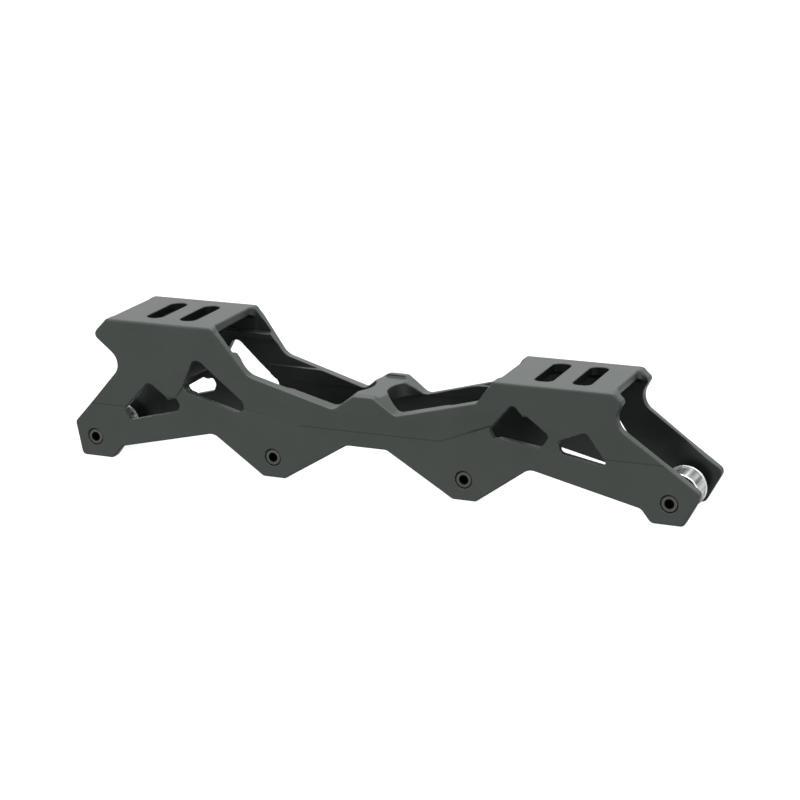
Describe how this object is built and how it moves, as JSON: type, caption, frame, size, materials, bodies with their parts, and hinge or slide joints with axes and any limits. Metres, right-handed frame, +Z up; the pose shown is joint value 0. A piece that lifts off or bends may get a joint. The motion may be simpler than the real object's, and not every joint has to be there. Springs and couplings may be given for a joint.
{
  "type": "inline skate frame",
  "caption": "Milled aluminium inline skate frame: side walls joined by a high rear deck, a low front deck and cross ties, with screw-together wheel axles and turned spool spacers.",
  "frame": {"origin": "on the surface the frame stands on, under the middle of its length and width", "axes": "+X towards the toe end, +Y towards the side with the axle heads, +Z up towards the boot"},
  "size_m": [0.2636, 0.0406, 0.0597],
  "materials": {
    "frame": "dark grey satin anodised, bead blasted",
    "axle_barrel": "black oxide, turned",
    "axle_screw": "dark grey, turned",
    "spacer": "bright, fine turned"
  },
  "bodies": {
    "frame": {"frame_body": "frame"},
    "barrel_1": {"axle_barrel_1": "axle_barrel"},
    "screw_1": {"axle_screw_1": "axle_screw"},
    "spacer_1": {"axle_spacer_1": "spacer"},
    "barrel_2": {"axle_barrel_2": "axle_barrel"},
    "screw_2": {"axle_screw_2": "axle_screw"},
    "spacer_2": {"axle_spacer_2": "spacer"},
    "barrel_3": {"axle_barrel_3": "axle_barrel"},
    "screw_3": {"axle_screw_3": "axle_screw"},
    "spacer_3": {"axle_spacer_3": "spacer"},
    "barrel_4": {"axle_barrel_4": "axle_barrel"},
    "screw_4": {"axle_screw_4": "axle_screw"},
    "spacer_4": {"axle_spacer_4": "spacer"}
  },
  "joints": [
    {"name": "spacer_1_spin", "type": "hinge", "parent": "frame", "child": "spacer_1", "pos_m": [-0.1231, 0, 0.0082], "axis": [0, 1, 0], "continuous": true},
    {"name": "barrel_1_withdraw", "type": "slide", "parent": "frame", "child": "barrel_1", "axis": [0, 1, 0], "range_m": [0, 0.04]},
    {"name": "screw_1_withdraw", "type": "slide", "parent": "frame", "child": "screw_1", "axis": [0, -1, 0], "range_m": [0, 0.02]},
    {"name": "spacer_2_spin", "type": "hinge", "parent": "frame", "child": "spacer_2", "pos_m": [-0.0421, 0, 0.0082], "axis": [0, 1, 0], "continuous": true},
    {"name": "barrel_2_withdraw", "type": "slide", "parent": "frame", "child": "barrel_2", "axis": [0, 1, 0], "range_m": [0, 0.04]},
    {"name": "screw_2_withdraw", "type": "slide", "parent": "frame", "child": "screw_2", "axis": [0, -1, 0], "range_m": [0, 0.02]},
    {"name": "spacer_3_spin", "type": "hinge", "parent": "frame", "child": "spacer_3", "pos_m": [0.0389, 0, 0.0082], "axis": [0, 1, 0], "continuous": true},
    {"name": "barrel_3_withdraw", "type": "slide", "parent": "frame", "child": "barrel_3", "axis": [0, 1, 0], "range_m": [0, 0.04]},
    {"name": "screw_3_withdraw", "type": "slide", "parent": "frame", "child": "screw_3", "axis": [0, -1, 0], "range_m": [0, 0.02]},
    {"name": "spacer_4_spin", "type": "hinge", "parent": "frame", "child": "spacer_4", "pos_m": [0.1199, 0, 0.0082], "axis": [0, 1, 0], "continuous": true},
    {"name": "barrel_4_withdraw", "type": "slide", "parent": "frame", "child": "barrel_4", "axis": [0, 1, 0], "range_m": [0, 0.04]},
    {"name": "screw_4_withdraw", "type": "slide", "parent": "frame", "child": "screw_4", "axis": [0, -1, 0], "range_m": [0, 0.02]}
  ]
}
